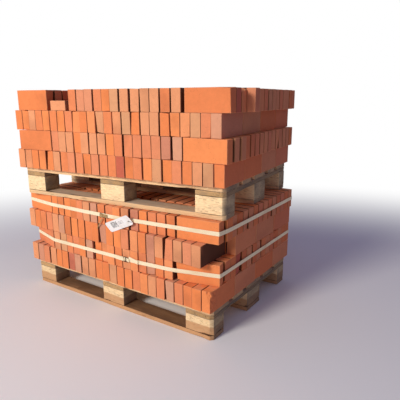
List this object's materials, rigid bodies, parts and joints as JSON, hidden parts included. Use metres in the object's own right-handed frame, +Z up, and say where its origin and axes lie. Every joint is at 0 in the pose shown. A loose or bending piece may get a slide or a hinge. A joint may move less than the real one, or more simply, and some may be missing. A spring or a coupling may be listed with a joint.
{
  "type": "pallet of bricks",
  "caption": "Stacked wooden pallets loaded with red bricks stood on edge; flat straps and a tag hold and mark the lower load.",
  "frame": {"origin": "on the ground, at the middle of the lower pallet's plan", "axes": "+X along the pallets' long side, to the right; +Y towards the back; +Z up"},
  "size_m": [1.3338, 0.9667, 1.088],
  "materials": {
    "pallet_board": "rough sawn, weathered",
    "pallet_block": "pressed chips, matt",
    "brick": "matt fired clay",
    "strap": "woven cord strap",
    "buckle_wire": "dark coated wire",
    "tag_card": "smooth card"
  },
  "bodies": {
    "root": {"bottom_strap": "strap", "bottom_strap_tail": "strap", "lower_block_back_left": "pallet_block", "lower_block_back_middle": "pallet_block", "lower_block_back_right": "pallet_block", "lower_block_front_left": "pallet_block", "lower_block_front_middle": "pallet_block", "lower_block_front_right": "pallet_block", "lower_block_middle_left": "pallet_block", "lower_block_middle_middle": "pallet_block", "lower_block_middle_right": "pallet_block", "lower_bottom_board_back": "pallet_board", "lower_bottom_board_front": "pallet_board", "lower_bottom_board_middle": "pallet_board", "lower_bricks_course_1": "brick", "lower_bricks_course_2": "brick", "lower_bricks_course_3": "brick", "lower_bricks_course_4": "brick", "lower_deck_board_1": "pallet_board", "lower_deck_board_2": "pallet_board", "lower_deck_board_3": "pallet_board", "lower_deck_board_4": "pallet_board", "lower_deck_board_5": "pallet_board", "lower_stringer_board_left": "pallet_board", "lower_stringer_board_middle": "pallet_board", "lower_stringer_board_right": "pallet_board", "strap_buckle": "buckle_wire", "strap_knot": "strap", "tag": "tag_card", "top_strap": "strap", "top_strap_tail": "strap", "upper_block_back_left": "pallet_block", "upper_block_back_middle": "pallet_block", "upper_block_back_right": "pallet_block", "upper_block_front_left": "pallet_block", "upper_block_front_middle": "pallet_block", "upper_block_front_right": "pallet_block", "upper_block_middle_left": "pallet_block", "upper_block_middle_middle": "pallet_block", "upper_block_middle_right": "pallet_block", "upper_bottom_board_back": "pallet_board", "upper_bottom_board_front": "pallet_board", "upper_bottom_board_middle": "pallet_board", "upper_bricks_course_1": "brick", "upper_bricks_course_2": "brick", "upper_bricks_course_3": "brick", "upper_bricks_course_4": "brick", "upper_deck_board_1": "pallet_board", "upper_deck_board_2": "pallet_board", "upper_deck_board_3": "pallet_board", "upper_deck_board_4": "pallet_board", "upper_deck_board_5": "pallet_board", "upper_stringer_board_left": "pallet_board", "upper_stringer_board_middle": "pallet_board", "upper_stringer_board_right": "pallet_board"}
  },
  "joints": []
}
